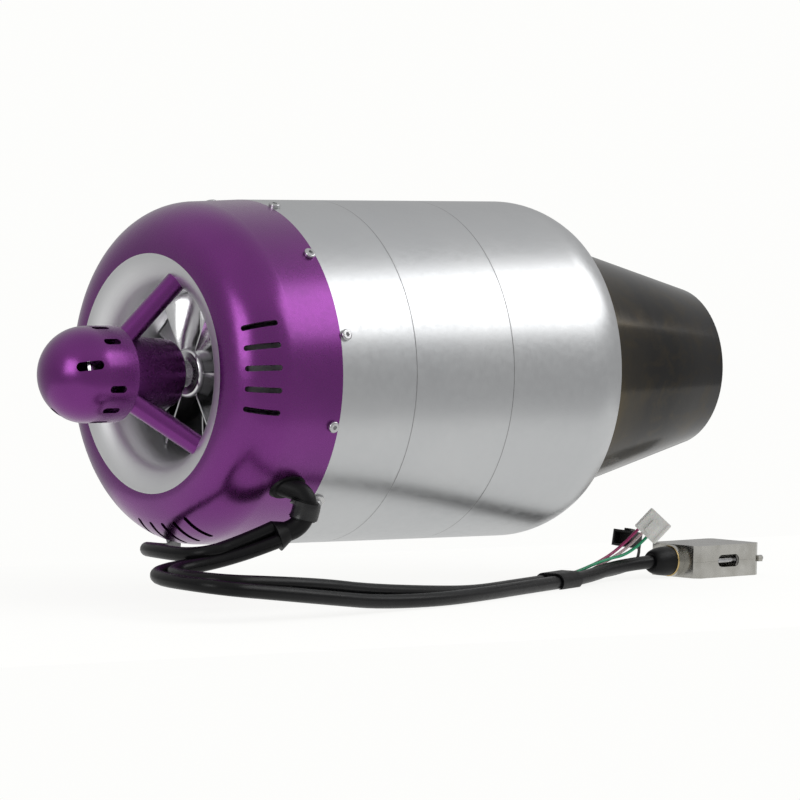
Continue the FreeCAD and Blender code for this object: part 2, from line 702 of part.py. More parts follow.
def glow_igniter():
    body = turned((DIFFUSER_BACK, 0), (DIFFUSER_BACK, 4.5), (DIFFUSER_BACK + 6, 4.5),
                  (DIFFUSER_BACK + 6, IGNITER_R), (LINER_FRONT + 8, IGNITER_R), (LINER_FRONT + 9, 1.2),
                  (LINER_FRONT + 14, 1.2), (LINER_FRONT + 14, 0))
    body.translate(Vector(0, 0, IGNITER_RING_R))
    return around(body, IGNITER_ANGLE)


def nozzle_guide_vanes():
    tip = TURBINE_R + TIP_GAP
    hub = TURBINE_HUB_R - 2
    outer = turned((VANE_RING_FRONT, tip), (VANE_RING_FRONT, tip + SHROUD_WALL),
                   (VANE_RING_REAR, tip + SHROUD_WALL), (VANE_RING_REAR, NOZZLE_BOLT_R - 3),
                   (PAN_X, NOZZLE_BOLT_R - 3), (PAN_X, tip))
    inner = turned((VANE_RING_FRONT - 2, hub - 2), (VANE_RING_FRONT - 2, hub), (TURBINE_FRONT - 1.5, hub),
                   (TURBINE_FRONT - 1.5, hub - 2), (WEB_X + 2, hub - 2),
                   (WEB_X + 2, BEARING_R + TUNNEL_WALL + SLIP), (WEB_X, BEARING_R + TUNNEL_WALL + SLIP),
                   (WEB_X, hub - 2))
    blade = curved_blade(VANE_RING_FRONT + 2, 13, -4.5, hub - 1, tip + 1.5, 1.3)
    blade = blade.common(tube(VANE_RING_FRONT, TURBINE_FRONT, 0, tip + 1))
    return outer.fuse([inner] + ring_of(blade, 15))


# ---- starter ----
HUB_FRONT = -25.2
HUB_REAR = 11.3
HUB_R_FRONT = 19.3
HUB_R_REAR = 16.8
DOME_SEAT = 3.0
MOTOR_SHAFT_R = 2.5
CLUTCH_R = 7.4
CLUTCH_POCKET_R = 8.2


def starter_spider():
    """The hub that carries the starter, with its three struts to the bellmouth."""
    hub = Outline(HUB_FRONT - 3, 0).to((HUB_FRONT - 3, DOME_R - DOME_WALL - SLIP))
    hub.to((HUB_FRONT, DOME_R - DOME_WALL - SLIP), (HUB_FRONT, DOME_R), (HUB_FRONT + DOME_SEAT, DOME_R))
    hub.to((HUB_FRONT + DOME_SEAT + 2, HUB_R_FRONT), (HUB_REAR - 2.5, HUB_R_REAR))
    hub.arc((HUB_REAR - 0.7, HUB_R_REAR - 0.9), (HUB_REAR, HUB_R_REAR - 2.7))
    hub.to((HUB_REAR, 0))
    strut = rod(strut_point(-40), strut_point(6), STRUT_R)
    struts = [around(strut, a).common(airway()) for a in STRUT_ANGLES]
    pocket = tube(2, HUB_REAR + 2, 0, CLUTCH_POCKET_R)
    bore = tube(HUB_FRONT - 20, HUB_REAR + 2, 0, MOTOR_SHAFT_R + RUNNING)
    seat = tube(HUB_FRONT - 4, HUB_FRONT + 6, MOTOR_SHAFT_R, 15.5)
    post = tube(HUB_FRONT - 16, HUB_FRONT + 6, 0, 5)
    thread = rod(strut_point(-12), strut_point(8), STRUT_SCREW_R)
    body = hub.turn().fuse(struts).cut([seat, pocket] + [around(thread, a) for a in STRUT_ANGLES])
    return body.fuse(post).cut(bore)


NOSE_SLOT_ANGLES = [75.0, 195.0, 315.0]
RING_SLOTS = 12


def starter_dome():
    tip = DOME_CENTRE - DOME_R
    inner_r = DOME_R - DOME_WALL
    shell = Outline(tip, 0)
    shell.quarter((DOME_CENTRE, 0), (DOME_CENTRE, DOME_R))
    shell.to((HUB_FRONT, DOME_R), (HUB_FRONT, inner_r), (DOME_CENTRE, inner_r))
    shell.quarter((DOME_CENTRE, 0), (tip + DOME_WALL, 0))
    slot = racetrack(9.5, 3.6, 10)
    slot.translate(Vector(-33.8, 0, DOME_R))
    angles = [BOLT_FIRST + 360.0 * k / RING_SLOTS for k in range(RING_SLOTS)]
    tools = [around(slot, a) for a in angles if a not in NOSE_SLOT_ANGLES]
    lean = math.radians(28)
    way = Vector(-math.sin(lean), 0, math.cos(lean))
    nose = placed(racetrack(13.5, 4.5, 10), Vector(DOME_CENTRE, 0, 0) + way * DOME_R,
                  Vector(math.cos(lean), 0, math.sin(lean)), way)
    return shell.turn().cut(tools + [around(nose, a) for a in NOSE_SLOT_ANGLES])


STATOR_R = 13.0
BELL_R = 17.0
BELL_WALL = 1.6
MOTOR_FRONT = -47.0
MOTOR_REAR = -30.0


def starter_stator():
    """Twelve wound teeth on the hub's post."""
    core = tube(MOTOR_FRONT + 4, MOTOR_REAR - 1, 5 + SLIP, 7.5)
    tooth = slab(8, 2.2, 6, Vector((MOTOR_FRONT + MOTOR_REAR + 3) / 2, 0, 9.8))
    coil = slab(10, 3.4, 3.4, Vector((MOTOR_FRONT + MOTOR_REAR + 3) / 2, 0, 9.3))
    shoe = tube((MOTOR_FRONT + MOTOR_REAR + 3) / 2 - 4, (MOTOR_FRONT + MOTOR_REAR + 3) / 2 + 4,
                STATOR_R - 1.2, STATOR_R).common(slab(20, 5, 30, Vector(-37, 0, 15)))
    teeth = ring_of(tooth.fuse([coil, shoe]), 12)
    return core.fuse(teeth)


def starter_bell():
    """The motor's outer can, which turns, with its spoked front plate."""
    can = turned((MOTOR_FRONT, 0), (MOTOR_FRONT, BELL_R - 1), (MOTOR_FRONT + 1, BELL_R), (MOTOR_REAR, BELL_R),
                 (MOTOR_REAR, BELL_R - BELL_WALL), (MOTOR_FRONT + 2, BELL_R - BELL_WALL), (MOTOR_FRONT + 2, 0))
    vent = Part.makeCylinder(2.6, 8, Vector(MOTOR_FRONT - 3, 0, 9.6), AXIS)
    hub = tube(MOTOR_FRONT - 1.5, MOTOR_FRONT + 3.2, 0, 4.4)
    return can.fuse(hub).cut(ring_of(vent, 6) + [tube(MOTOR_FRONT - 5, MOTOR_FRONT + 9, 0, MOTOR_SHAFT_R)])


CLUTCH_FRONT = 4.0
CLUTCH_REAR = 12.6


def starter_shaft():
    """The motor's shaft, with a flat that drives the clutch."""
    shaft = tube(MOTOR_FRONT - 2, CLUTCH_REAR - 2, 0, MOTOR_SHAFT_R)
    flat = slab(CLUTCH_REAR - 2.6, 6, 2, Vector((2.6 + CLUTCH_REAR) / 2, 0, MOTOR_SHAFT_R + 0.4))
    return shaft.cut(flat)


def clutch_cup():
    """The cup that slides out of the hub and grips the compressor nut's nose."""
    cup = turned((CLUTCH_FRONT, 0), (CLUTCH_FRONT, CLUTCH_R), (CLUTCH_REAR, CLUTCH_R), (CLUTCH_REAR, 6.2),
                 (CLUTCH_REAR - 2.2, 5.2), (CLUTCH_REAR - 2.2, 0))
    bore = tube(CLUTCH_FRONT - 1, CLUTCH_REAR, 0, MOTOR_SHAFT_R + RUNNING)
    key = slab(CLUTCH_REAR, 6, 2, Vector(CLUTCH_REAR / 2, 0, MOTOR_SHAFT_R + 0.4 + 3 * RUNNING))
    return cup.cut(bore.cut(key))


def strut_screws():
    screw = cap_screw(2 * STRUT_SCREW_R, 16, STRUT_SCREW_HEAD_R, 3.6, 1.7)
    placed_screw = placed(screw, strut_point(BOSS_LENGTH), Vector(0, 1, 0), strut_way())
    return [around(placed_screw, a) for a in STRUT_ANGLES]


# ---- under the cowl ----
PUMP_RING_R = CASE_R - 21.0
PUMP_X = 24.0
PUMP_R = 8.0
PUMP_MOTOR_R = 9.0


def fuel_pump():
    """Gear pump and its motor in one line, cast with the foot that bolts to the plate."""
    head = Part.makeCylinder(PUMP_R, 16, Vector(PUMP_X, 4, -PUMP_RING_R), Vector(0, 1, 0))
    motor = Part.makeCylinder(PUMP_MOTOR_R, 24, Vector(PUMP_X, -20, -PUMP_RING_R), Vector(0, 1, 0))
    foot = slab(PLATE_FRONT - PUMP_X, 12, 12, Vector((PLATE_FRONT + PUMP_X) / 2, -2, -PUMP_RING_R))
    port = Part.makeCylinder(2, 6, Vector(PUMP_X - 2, 12, -PUMP_RING_R + 6), Vector(0, 0, 1))
    return head.fuse([motor, foot, port])


BOARD_X = 36.0
BOARD_RING_R = CASE_R - 19.0


def ecu_board():
    """The engine's control board on four pillars, with its chips and sockets."""
    board = rounded_box(1.6, 44, 22, 0.4)
    board.translate(Vector(BOARD_X, 0, BOARD_RING_R))
    pillar = Part.makeCylinder(2, PLATE_FRONT - BOARD_X, Vector(BOARD_X, 0, 0), AXIS)
    pieces = [board]
    for y in (-19, 19):
        for z in (-8, 8):
            copy = pillar.copy()
            copy.translate(Vector(0, y, BOARD_RING_R + z))
            pieces.append(copy)
    for y, z, side, tall in ((-8, 0, 10, 2), (8, 4, 6, 1.6), (8, -5, 5, 3), (-17, 0, 4, 5)):
        pieces.append(slab(tall, side, side, Vector(BOARD_X - tall / 2, y, BOARD_RING_R + z)))
    return around(pieces[0].fuse(pieces[1:]), 310)


FITTING_X = 33.0
FITTING_ANGLE = 270.0
FITTING_THREAD_R = 4.0
FITTING_BORE_R = 2.0


def fuel_inlet_fitting():
    """A barbed bulkhead fitting through the cowl, with its nut inside."""
    hexagon = Part.makePolygon([Vector(7 * math.cos(k * math.pi / 3), 7 * math.sin(k * math.pi / 3), 0)
                                for k in range(7)])
    outer_hex = Part.Face(hexagon).extrude(Vector(0, 0, 3.5))
    nut = Part.Face(hexagon).extrude(Vector(0, 0, 3))
    nut.translate(Vector(0, 0, -COWL_WALL - 3.7))
    neck = Part.makeCylinder(FITTING_THREAD_R, 14, Vector(0, 0, -10))
    stem = Part.makeCylinder(3, 14, Vector(0, 0, 3))
    barbs = [Part.makeCone(3.7, 3, 3, Vector(0, 0, z)) for z in (7, 10.5, 14)]
    bore = Part.makeCylinder(FITTING_BORE_R, 40, Vector(0, 0, -12))
    body = outer_hex.fuse([nut, neck, stem] + barbs).cut(bore)
    return at_station(body, FITTING_X, CASE_R - 0.5, FITTING_ANGLE)


# ---- cable exit ----
SLEEVE_ROUTE = [(22, -50, -46), (42, -76, -55), (40, -73, -70), (28, -68.5, -75)]
FAR_ROUTE = [(8.5, 49.9, -47), (31.5, 68.5, -52)]
SLEEVE_END_R = 7.7
FLARE = 6.0
CLIP_WALL = 0.8
CUSHION = 1.0
CLIP_WIDTH = 8.0
EAR_R = 5.0
EAR_THICK = 1.0
CLIP_ANGLE = 135.0


def hole_tool(radius, route):
    start = Vector(*route[0])
    way = (Vector(*route[1]) - start).normalize()
    return Part.makeCylinder(radius, 34, start, way)


def cable_sleeve():
    """The shrunk-on sleeve that holds the three cables where they leave the cowl."""
    end = Vector(*SLEEVE_ROUTE[-1])
    way = (end - Vector(*SLEEVE_ROUTE[-2])).normalize()
    flare = Part.makeCone(SLEEVE_R, SLEEVE_END_R, FLARE, end - way * FLARE, way)
    return along_sleeve(SLEEVE_R).fuse(flare)


def along_sleeve(radius):
    """A round bar of the given radius that follows the sleeve."""
    route, _ = rounded_route(SLEEVE_ROUTE)
    start = Vector(*SLEEVE_ROUTE[0])
    circle = Part.Wire([Part.makeCircle(radius, start, Vector(*SLEEVE_ROUTE[1]) - start)])
    return route.makePipeShell([circle], True, False)


def clip_frame():
    """Middle of the clip's band, and the way that the sleeve runs through it."""
    a = Vector(*SLEEVE_ROUTE[1])
    b = Vector(*SLEEVE_ROUTE[2])
    return (a + b) * 0.5, (b - a).normalize()


def band(inner, outer, width):
    """A ring round the sleeve, which bends with it."""
    middle, way = clip_frame()
    keep = Part.makeCylinder(outer + 1.5, width, middle - way * (width / 2), way)
    return along_sleeve(outer).common(keep).cut(along_sleeve(inner))


def clip_space():
    """The room that the clip and its cushion take along the sleeve."""
    return band(SLEEVE_R / 2, SLEEVE_R + CUSHION + CLIP_WALL + 0.1, CLIP_WIDTH + 2.0)


def clip_cushion():
    return band(SLEEVE_R + 0.02, SLEEVE_R + CUSHION, CLIP_WIDTH + 1.5)


def cable_clip():
    """A steel loop clip whose ear lies under one of the casing's screws."""
    inner = SLEEVE_R + CUSHION + 0.02
    outer = inner + CLIP_WALL
    loop = band(inner, outer, CLIP_WIDTH)
    ear = at_station(Part.makeCylinder(EAR_R, EAR_THICK), CASE_BOLT_X, CASE_R, CLIP_ANGLE)
    middle, way = clip_frame()
    seat = at_angle(CASE_BOLT_X, CASE_R + EAR_THICK / 2, CLIP_ANGLE)
    side = (seat - middle) - way * (seat - middle).dot(way)
    side.normalize()
    root = middle + side * (inner + CLIP_WALL / 2)
    out = at_angle(0, 1, CLIP_ANGLE)
    flat = root - seat
    flat = (flat - out * flat.dot(out)).normalize()
    across = out.cross(flat).normalize()
    if across.dot(way) < 0:
        across = across * -1
    lap = seat + flat * (EAR_R * 0.6)
    thick_way = way.cross(lap - root).normalize()
    if thick_way.dot(out) < 0:
        thick_way = thick_way * -1
    near = strip_wire(root, way, thick_way, CLIP_WIDTH * 0.9, EAR_THICK)
    far = strip_wire(lap, across, out, EAR_R * 1.4, EAR_THICK)
    web = Part.makeLoft([near, far], True, True)
    hole = at_station(Part.makeCylinder(BOLT_D / 2 + BOLT_CLEAR, 9), CASE_BOLT_X, CASE_R - 4, CLIP_ANGLE)
    head = at_station(Part.makeCylinder(BOLT_HEAD_R + FREE, 6), CASE_BOLT_X, CASE_R + EAR_THICK, CLIP_ANGLE)
    case = tube(CASE_FRONT - 30, LAND_FRONT, 0, CASE_R)
    return loop.fuse([ear, web]).cut([hole, head, case, along_sleeve(inner)])


def strip_wire(middle, wide_way, thick_way, wide, thick):
    corners = [(-1, -1), (1, -1), (1, 1), (-1, 1), (-1, -1)]
    return Part.makePolygon([middle + wide_way * (a * wide / 2) + thick_way * (b * thick / 2)
                             for a, b in corners])


def casing_screws():
    """All twelve screws: six hold the cowl and six the casing, one through the clip."""
    screw = cap_screw(BOLT_D - 0.02, BOLT_LENGTH, BOLT_HEAD_R, BOLT_HEAD_H, BOLT_SOCKET)
    screws = []
    for k in range(BOLTS):
        angle = BOLT_FIRST + 360.0 * k / BOLTS
        station = (CASE_BOLT_X, COWL_BOLT_X)[k % 2]
        seat = CASE_R if station == CASE_BOLT_X else cowl_rear_radius(COWL_BOLT_X + BOLT_HEAD_R)
        if angle == CLIP_ANGLE:
            seat += EAR_THICK
        screws.append(at_station(screw, station, seat, angle))
    return screws


def cowl_grommets():
    """Two rubber rings that line the cowl's cable holes."""
    grommets = []
    for route, inner in ((SLEEVE_ROUTE, SLEEVE_R + 0.1), (FAR_ROUTE, CABLE_D / 2 + 0.1)):
        ring = hole_tool(HOLE_R - 0.05, route).cut(hole_tool(inner, route))
        grommets.append(ring.common(cowl_band()).cut(clip_space()))
    return grommets


def cowl_band():
    """The cowl's own thickness and a little more each side, where the cables leave."""
    nose = cowl_nose_radius()
    return turned((20, nose - COWL_WALL - 2.5), (20, nose + 0.6), (COWL_CURVE, nose + 1.2),
                  (CASE_FRONT - 6, CASE_R + 1.0), (CASE_FRONT - 6, CASE_R - COWL_WALL - 2),
                  (COWL_CURVE, nose - COWL_WALL - 1.5))


# ---- free cables ----
CABLE_LOOP = [(26.5, -67.9, -71.1), (14.3, -63.3, -76.2), (-25, -60, -84), (-25, -11, -82), (14, 4, -87),
              (44, 42, -99), (80, 87, -101), (68, 98, -60), (31.6, 68.6, -52)]
CABLE_SIGNAL = [(29.9, -65.3, -77), (7.2, -56.8, -86.5), (-48.5, -52.3, -97), (-48.5, -114.3, -98),
                (-1, -113, -98.8), (36, -106.5, -102.4), (68, -97.5, -106), (114, -86, -107.5),
                (158, -68, -107.5), (200, -46.7, -107.5), (262, -17.3, -107.5), (297.5, -1.4, -103.2),
                (323.1, 2.7, -102.5)]
CABLE_POWER = [(27.3, -72.1, -77), (6.4, -64.3, -85.7), (-41, -59.5, -95), (-41, -107, -95.5),
               (5, -106, -95), (36, -100, -97), (67, -91, -101), (112, -79.2, -104.5),
               (155, -61.2, -107.4), (197, -40.1, -107.5), (237.4, -20.9, -107.5)]

# The sleeve where the wires of the power cable come out beside the signal cable.
SPLIT_START = (231, -27.9, -107.5)
SPLIT_END = (250.9, -18.5, -107.5)
SPLIT_WALL = 0.8
SPLIT_GAP = 7.3         # between the two cables' middles
WIRE_D = 1.6
WIRES = {
    "wire_magenta": [(248.9, -14.1, -106.3), (260, -8.8, -106), (284, -3, -101), (303.1, 1.8, -93.5),
                     (309.7, -2.9, -84.6)],
    "wire_white": [(249.9, -16.3, -108.7), (261, -11, -108.7), (286, 0, -103), (307.4, 3.5, -95.7),
                   (313.9, -1.2, -86.8)],
    "wire_green": [(249.9, -16.3, -106.3), (261, -11, -105.2), (284, -6.5, -99.4), (306.6, -1.1, -97.5),
                   (313.1, -5.8, -88.6)],
    "wire_black": [(248.9, -14.1, -108.7), (261, -8.4, -108.7), (288, 3, -109.6), (313, 14, -108.6),
                   (334.4, 27.7, -107), (334.6, 24.3, -94.3), (322.7, 17.3, -92.2)],
}


def split_sleeve():
    start = Vector(*SPLIT_START)
    run = Vector(*SPLIT_END) - start
    way = Vector(run).normalize()
    side = Vector(-way.y, way.x, 0)
    outer = CABLE_D / 2 + FREE + SPLIT_WALL
    ends = [Part.makeCylinder(outer, run.Length, start + side * (s * SPLIT_GAP / 2), way) for s in (-1, 1)]
    block = placed(slab(run.Length, SPLIT_GAP, 2 * outer), start + run * 0.5, way, Vector(0, 0, 1))
    bore = Part.makeCylinder(CABLE_D / 2 + FREE, run.Length + 8, start - way * 4 - side * (SPLIT_GAP / 2), way)
    stop = Part.makeCylinder(CABLE_D / 2 + FREE, 13, start - way * 4 + side * (SPLIT_GAP / 2), way)
    above = slab(900, 900, 40, Vector(200, 0, FLOOR + 20))
    return ends[0].fuse([ends[1], block]).cut([bore, stop]).common(above)


# ---- plugs ----
HOOD_AT = (341.0, 5.5, -102.5)
HOOD_WAY = (0.988, 0.156, 0.0)
HOOD_LENGTH = 50.0
HOOD_WIDTH = 34.0
HOOD_THICK = 17.0
HOOD_WALL = 1.6
FERRULE = 4.0
BOOT = 13.8
SCREW_OUT = 13.2        # from the hood's middle line to each jackscrew
SCREW_R = 1.5
SCREW_HEAD_R = 1.9
INSERT_WIDTH = 30.0
INSERT_HEIGHT = 12.0


def on_hood(shape):
    """A piece modelled along X from the cable end of the hood, put in its place."""
    return placed(shape, Vector(*HOOD_AT), Vector(*HOOD_WAY), Vector(0, 0, 1))


def hood_blank():
    plan = Part.Face(Part.makePolygon([Vector(x, y, -HOOD_THICK / 2) for x, y in (
        (0, -HOOD_WIDTH / 2 + 3), (3, -HOOD_WIDTH / 2), (HOOD_LENGTH - 3, -HOOD_WIDTH / 2),
        (HOOD_LENGTH, -HOOD_WIDTH / 2 + 1.5), (HOOD_LENGTH, HOOD_WIDTH / 2 - 1.5),
        (HOOD_LENGTH - 3, HOOD_WIDTH / 2), (3, HOOD_WIDTH / 2), (0, HOOD_WIDTH / 2 - 3),
        (0, -HOOD_WIDTH / 2 + 3))]))
    return plan.extrude(Vector(0, 0, HOOD_THICK))


def hood_half(upper):
    """Half of the die-cast hood: a shell split at the middle of its height."""
    blank = hood_blank()
    depth = HOOD_LENGTH - HOOD_WALL - 4
    inside = slab(depth, HOOD_WIDTH - 2 * HOOD_WALL, HOOD_THICK - 2 * HOOD_WALL,
                  Vector(HOOD_WALL + depth / 2, 0, 0))
    mouth = slab(8, INSERT_WIDTH, INSERT_HEIGHT, Vector(HOOD_LENGTH, 0, 0))
    windows = [rounded_window(s) for s in (-1, 1)]
    entry = Part.makeCylinder(CABLE_D / 2 + 1.2, 6, Vector(-2, 0, 0), AXIS)
    barrels = [Part.makeCylinder(SCREW_R + BOLT_CLEAR, 20, Vector(HOOD_LENGTH - 12, s * SCREW_OUT, 0), AXIS)
               for s in (-1, 1)]
    lugs = [slab(3.2, 5, 3, Vector(HOOD_LENGTH + 1.2, s * (HOOD_WIDTH / 2 - 2.6), 0)) for s in (-1, 1)]
    body = blank.fuse(lugs).cut([inside, mouth, entry] + windows + barrels)
    split = 0.05
    keep = slab(90, 90, 20, Vector(20, 0, 10 + split if upper else -10))
    return on_hood(body.common(keep))


def rounded_window(side):
    return placed(racetrack(17, 6.4, 9), Vector(25, side * HOOD_WIDTH / 2, 0), AXIS, Vector(0, 1, 0))


def jackscrew(side):
    """A long screw in the hood's side window, with a slotted head to turn it by."""
    start = Vector(19, side * SCREW_OUT, 0)
    shank = Part.makeCylinder(SCREW_R, HOOD_LENGTH + 6 - 19, start, AXIS)
    head = Part.makeCylinder(SCREW_HEAD_R, 11, start, AXIS)
    collar = Part.makeCylinder(SCREW_HEAD_R, 2, Vector(33, side * SCREW_OUT, 0), AXIS)
    slot = slab(3, 0.8, 8, Vector(start.x + 0.2, side * SCREW_OUT, 0))
    return on_hood(shank.fuse([head, collar]).cut(slot))


def d_insert():
    """The contact block: flange, D-shaped shroud and its two rows of pins."""
    flange = slab(2, INSERT_WIDTH - 0.4, INSERT_HEIGHT - 0.4, Vector(HOOD_LENGTH - 1.5, 0, 0))
    corners = [(8.4, 4), (-8.4, 4), (-7.2, -4), (7.2, -4), (8.4, 4)]
    face = Part.Face(Part.makePolygon([Vector(HOOD_LENGTH - 1, y, z) for y, z in corners]))
    shroud = face.extrude(Vector(7, 0, 0))
    inner = [(7.7, 3.4), (-7.7, 3.4), (-6.6, -3.4), (6.6, -3.4), (7.7, 3.4)]
    mouth = Part.Face(Part.makePolygon([Vector(HOOD_LENGTH + 1, y, z) for y, z in inner]))
    cavity = mouth.extrude(Vector(9, 0, 0))
    pins = [Part.makeCylinder(0.5, 6, Vector(HOOD_LENGTH - 1, y, z), AXIS)
            for z, count in ((1.4, 5), (-1.4, 4))
            for y in [2.76 * (k - (count - 1) / 2) for k in range(count)]]
    block = slab(6, 16, 8, Vector(HOOD_LENGTH - 4.5, 0, 0))
    holes = [Part.makeCylinder(SCREW_R + BOLT_CLEAR, 12, Vector(HOOD_LENGTH - 6, s * SCREW_OUT, 0), AXIS)
             for s in (-1, 1)]
    return on_hood(flange.fuse([shroud, block]).cut([cavity] + holes).fuse(pins))


def connector_boot():
    """Rubber strain relief that tapers from the ferrule to the cable."""
    boot = Outline(-FERRULE - BOOT, 0).to((-FERRULE - BOOT, CABLE_D / 2 + 0.9))
    boot.quarter((-FERRULE - 2, CABLE_D / 2 + 0.9), (-FERRULE - 2, 7.6))
    boot.to((-FERRULE, 7.6), (-FERRULE, 0))
    body = boot.turn()
    return on_hood(body)


def hood_ferrule():
    """The metal ring that clamps the boot in the hood's cable entry."""
    return on_hood(turned((-FERRULE, 0), (-FERRULE, 8.2), (-0.05, 8.2), (-0.05, 4.4), (1.4, 4.4), (1.4, 0)))


PLUG_AT = (317.1, -6.0, -82.9)
PLUG_WAY = (0.53, -0.41, 0.74)
PLUG_FACE = (-0.6, -0.75, 0.05)


def white_plug():
    """A white nylon plug with two rows of four contacts and a latch."""
    body = rounded_box(13, 14, 8.4, 0.8)
    latch = slab(7, 4, 1.4, Vector(-1, 0, 4.8))
    ribs = [slab(11, 1, 0.8, Vector(0, y, 4.4)) for y in (-5.8, 5.8)]
    cells = [slab(6, 1.9, 1.9, Vector(5, y, z)) for z in (-2, 2) for y in (-4.5, -1.5, 1.5, 4.5)]
    backs = [slab(3, 1.8, 1.8, Vector(-6, y, z)) for z in (-2, 2) for y in (-4.5, -1.5, 1.5, 4.5)]
    plug = body.fuse([latch] + ribs).cut(cells + backs)
    return placed(plug, Vector(*PLUG_AT), Vector(*PLUG_WAY), Vector(*PLUG_FACE))


BLACK_AT = (315.8, 13.2, -91.0)
BLACK_WAY = (-0.85, -0.5, 0.15)


def black_plug():
    """A black housing, open at its mating end."""
    body = rounded_box(16, 11, 8.5, 0.8)
    mouth = slab(9, 8.6, 6.2, Vector(4, 0, 0))
    latch = slab(7, 3.4, 1.4, Vector(-2, 0, 4.9))
    return placed(body.cut(mouth).fuse(latch), Vector(*BLACK_AT), Vector(*BLACK_WAY), Vector(0.15, 0, 0.98))


# ---- build ----
os.makedirs("parts", exist_ok=True)

save("intake_bellmouth", intake_bellmouth())
save("intake_cowl", intake_cowl())
save("casing_screws", casing_screws())
save("casing_front_ring", casing_front_ring())
save("casing_barrel", casing_barrel())
save("casing_rear_shell", casing_rear_shell())
save("exhaust_nozzle", exhaust_nozzle())
save("nozzle_screws", nozzle_screws())
save("tail_bullet", tail_bullet())

save("compressor_wheel", compressor_wheel())
save("compressor_nut", compressor_nut())
save("rotor_shaft", rotor_shaft())
for side, station in (("front", FRONT_BEARING), ("rear", REAR_BEARING)):
    save(side + "_bearing_outer_ring", bearing_outer_ring(station))
    save(side + "_bearing_inner_ring", bearing_inner_ring(station))
    save(side + "_bearing_balls", bearing_balls(station))
save("turbine_wheel", turbine_wheel())
save("turbine_nut", turbine_nut())

save("diffuser", diffuser())
save("shaft_tunnel", shaft_tunnel())
save("combustor_outer_liner", combustor_outer_liner())
save("combustor_inner_liner", combustor_inner_liner())
save("combustor_cap", combustor_cap())
save("vaporiser_tubes", vaporiser_tubes())
save("fuel_ring", fuel_ring())
save("glow_igniter", glow_igniter())
save("nozzle_guide_vanes", nozzle_guide_vanes())

save("starter_spider", starter_spider())
save("starter_dome", starter_dome())
save("starter_stator", starter_stator())
save("starter_bell", starter_bell())
save("starter_shaft", starter_shaft())
save("clutch_cup", clutch_cup())
save("strut_screws", strut_screws())

save("fuel_pump", fuel_pump())
save("ecu_board", ecu_board())
save("fuel_inlet_fitting", fuel_inlet_fitting())

save("cable_sleeve", cable_sleeve())
save("clip_cushion", clip_cushion())
save("cable_clip", cable_clip())
save("cowl_grommets", cowl_grommets())
save("cable_loop", cord("cable_loop", CABLE_LOOP, CABLE_D))
save("cable_signal", cord("cable_signal", CABLE_SIGNAL, CABLE_D))
save("cable_power", cord("cable_power", CABLE_POWER, CABLE_D))
save("split_sleeve", split_sleeve())
for name, points in WIRES.items():
    save(name, cord(name, points, WIRE_D))

save("connector_boot", connector_boot())
save("hood_ferrule", hood_ferrule())
save("hood_lower", hood_half(False))
save("hood_upper", hood_half(True))
save("d_insert", d_insert())
save("jackscrew_near", jackscrew(-1))
save("jackscrew_far", jackscrew(1))
save("white_plug", white_plug())
save("black_plug", black_plug())
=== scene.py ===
import bpy
import json
import math
from mathutils import Matrix, Vector


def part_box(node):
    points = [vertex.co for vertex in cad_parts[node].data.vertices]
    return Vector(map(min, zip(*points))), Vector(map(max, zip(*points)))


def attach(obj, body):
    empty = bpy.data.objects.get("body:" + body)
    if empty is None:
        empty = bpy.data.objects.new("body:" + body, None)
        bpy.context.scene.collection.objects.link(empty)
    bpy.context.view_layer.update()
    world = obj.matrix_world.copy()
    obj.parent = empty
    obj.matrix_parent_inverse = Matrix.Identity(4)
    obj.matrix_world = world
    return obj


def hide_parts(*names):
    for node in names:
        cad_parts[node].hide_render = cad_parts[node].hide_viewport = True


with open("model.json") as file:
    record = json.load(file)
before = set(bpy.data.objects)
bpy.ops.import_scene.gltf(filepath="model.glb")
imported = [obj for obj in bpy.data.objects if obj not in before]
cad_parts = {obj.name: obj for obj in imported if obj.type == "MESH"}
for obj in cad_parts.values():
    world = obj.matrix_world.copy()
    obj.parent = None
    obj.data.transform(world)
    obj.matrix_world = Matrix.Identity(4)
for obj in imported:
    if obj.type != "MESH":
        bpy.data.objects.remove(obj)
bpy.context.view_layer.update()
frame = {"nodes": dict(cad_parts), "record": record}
nodes = frame["nodes"]
FLOOR = -0.1112                             # height of the floor, just under the lowest piece
FLOOR_REFLECTED = 0.66                      # the floor's glow as the part reflects it
FLOOR_SEEN_EXTRA = 0.22                     # what the camera sees on top of that, so that it is white
PAPER_WHITE = (0.985, 0.985, 0.972, 1.0)    # the world as the camera sees it


# ---- camera ----
def make_camera():
    azimuth = math.radians(-37.5655)
    elevation = math.radians(3.0)
    roll = math.radians(1.2215)
    distance = 2.91303
    target = Vector((0.0248555, 0.0, -0.0151927))
    back = Vector((math.sin(azimuth) * math.cos(elevation), -math.cos(azimuth) * math.cos(elevation),
                   math.sin(elevation)))
    right = Vector((math.cos(azimuth), math.sin(azimuth), 0.0))
    up = back.cross(right)
    across = right * math.cos(roll) + up * math.sin(roll)
    upward = up * math.cos(roll) - right * math.sin(roll)
    camera = bpy.data.objects.new("camera", bpy.data.cameras.new("camera"))
    bpy.context.scene.collection.objects.link(camera)
    matrix = Matrix((across, upward, back)).transposed().to_4x4()
    matrix.translation = target + back * distance
    camera.matrix_world = matrix
    camera.data.sensor_width = 36.0
    camera.data.lens = 260.64
    camera.data.clip_end = 50.0
    bpy.context.scene.camera = camera


make_camera()


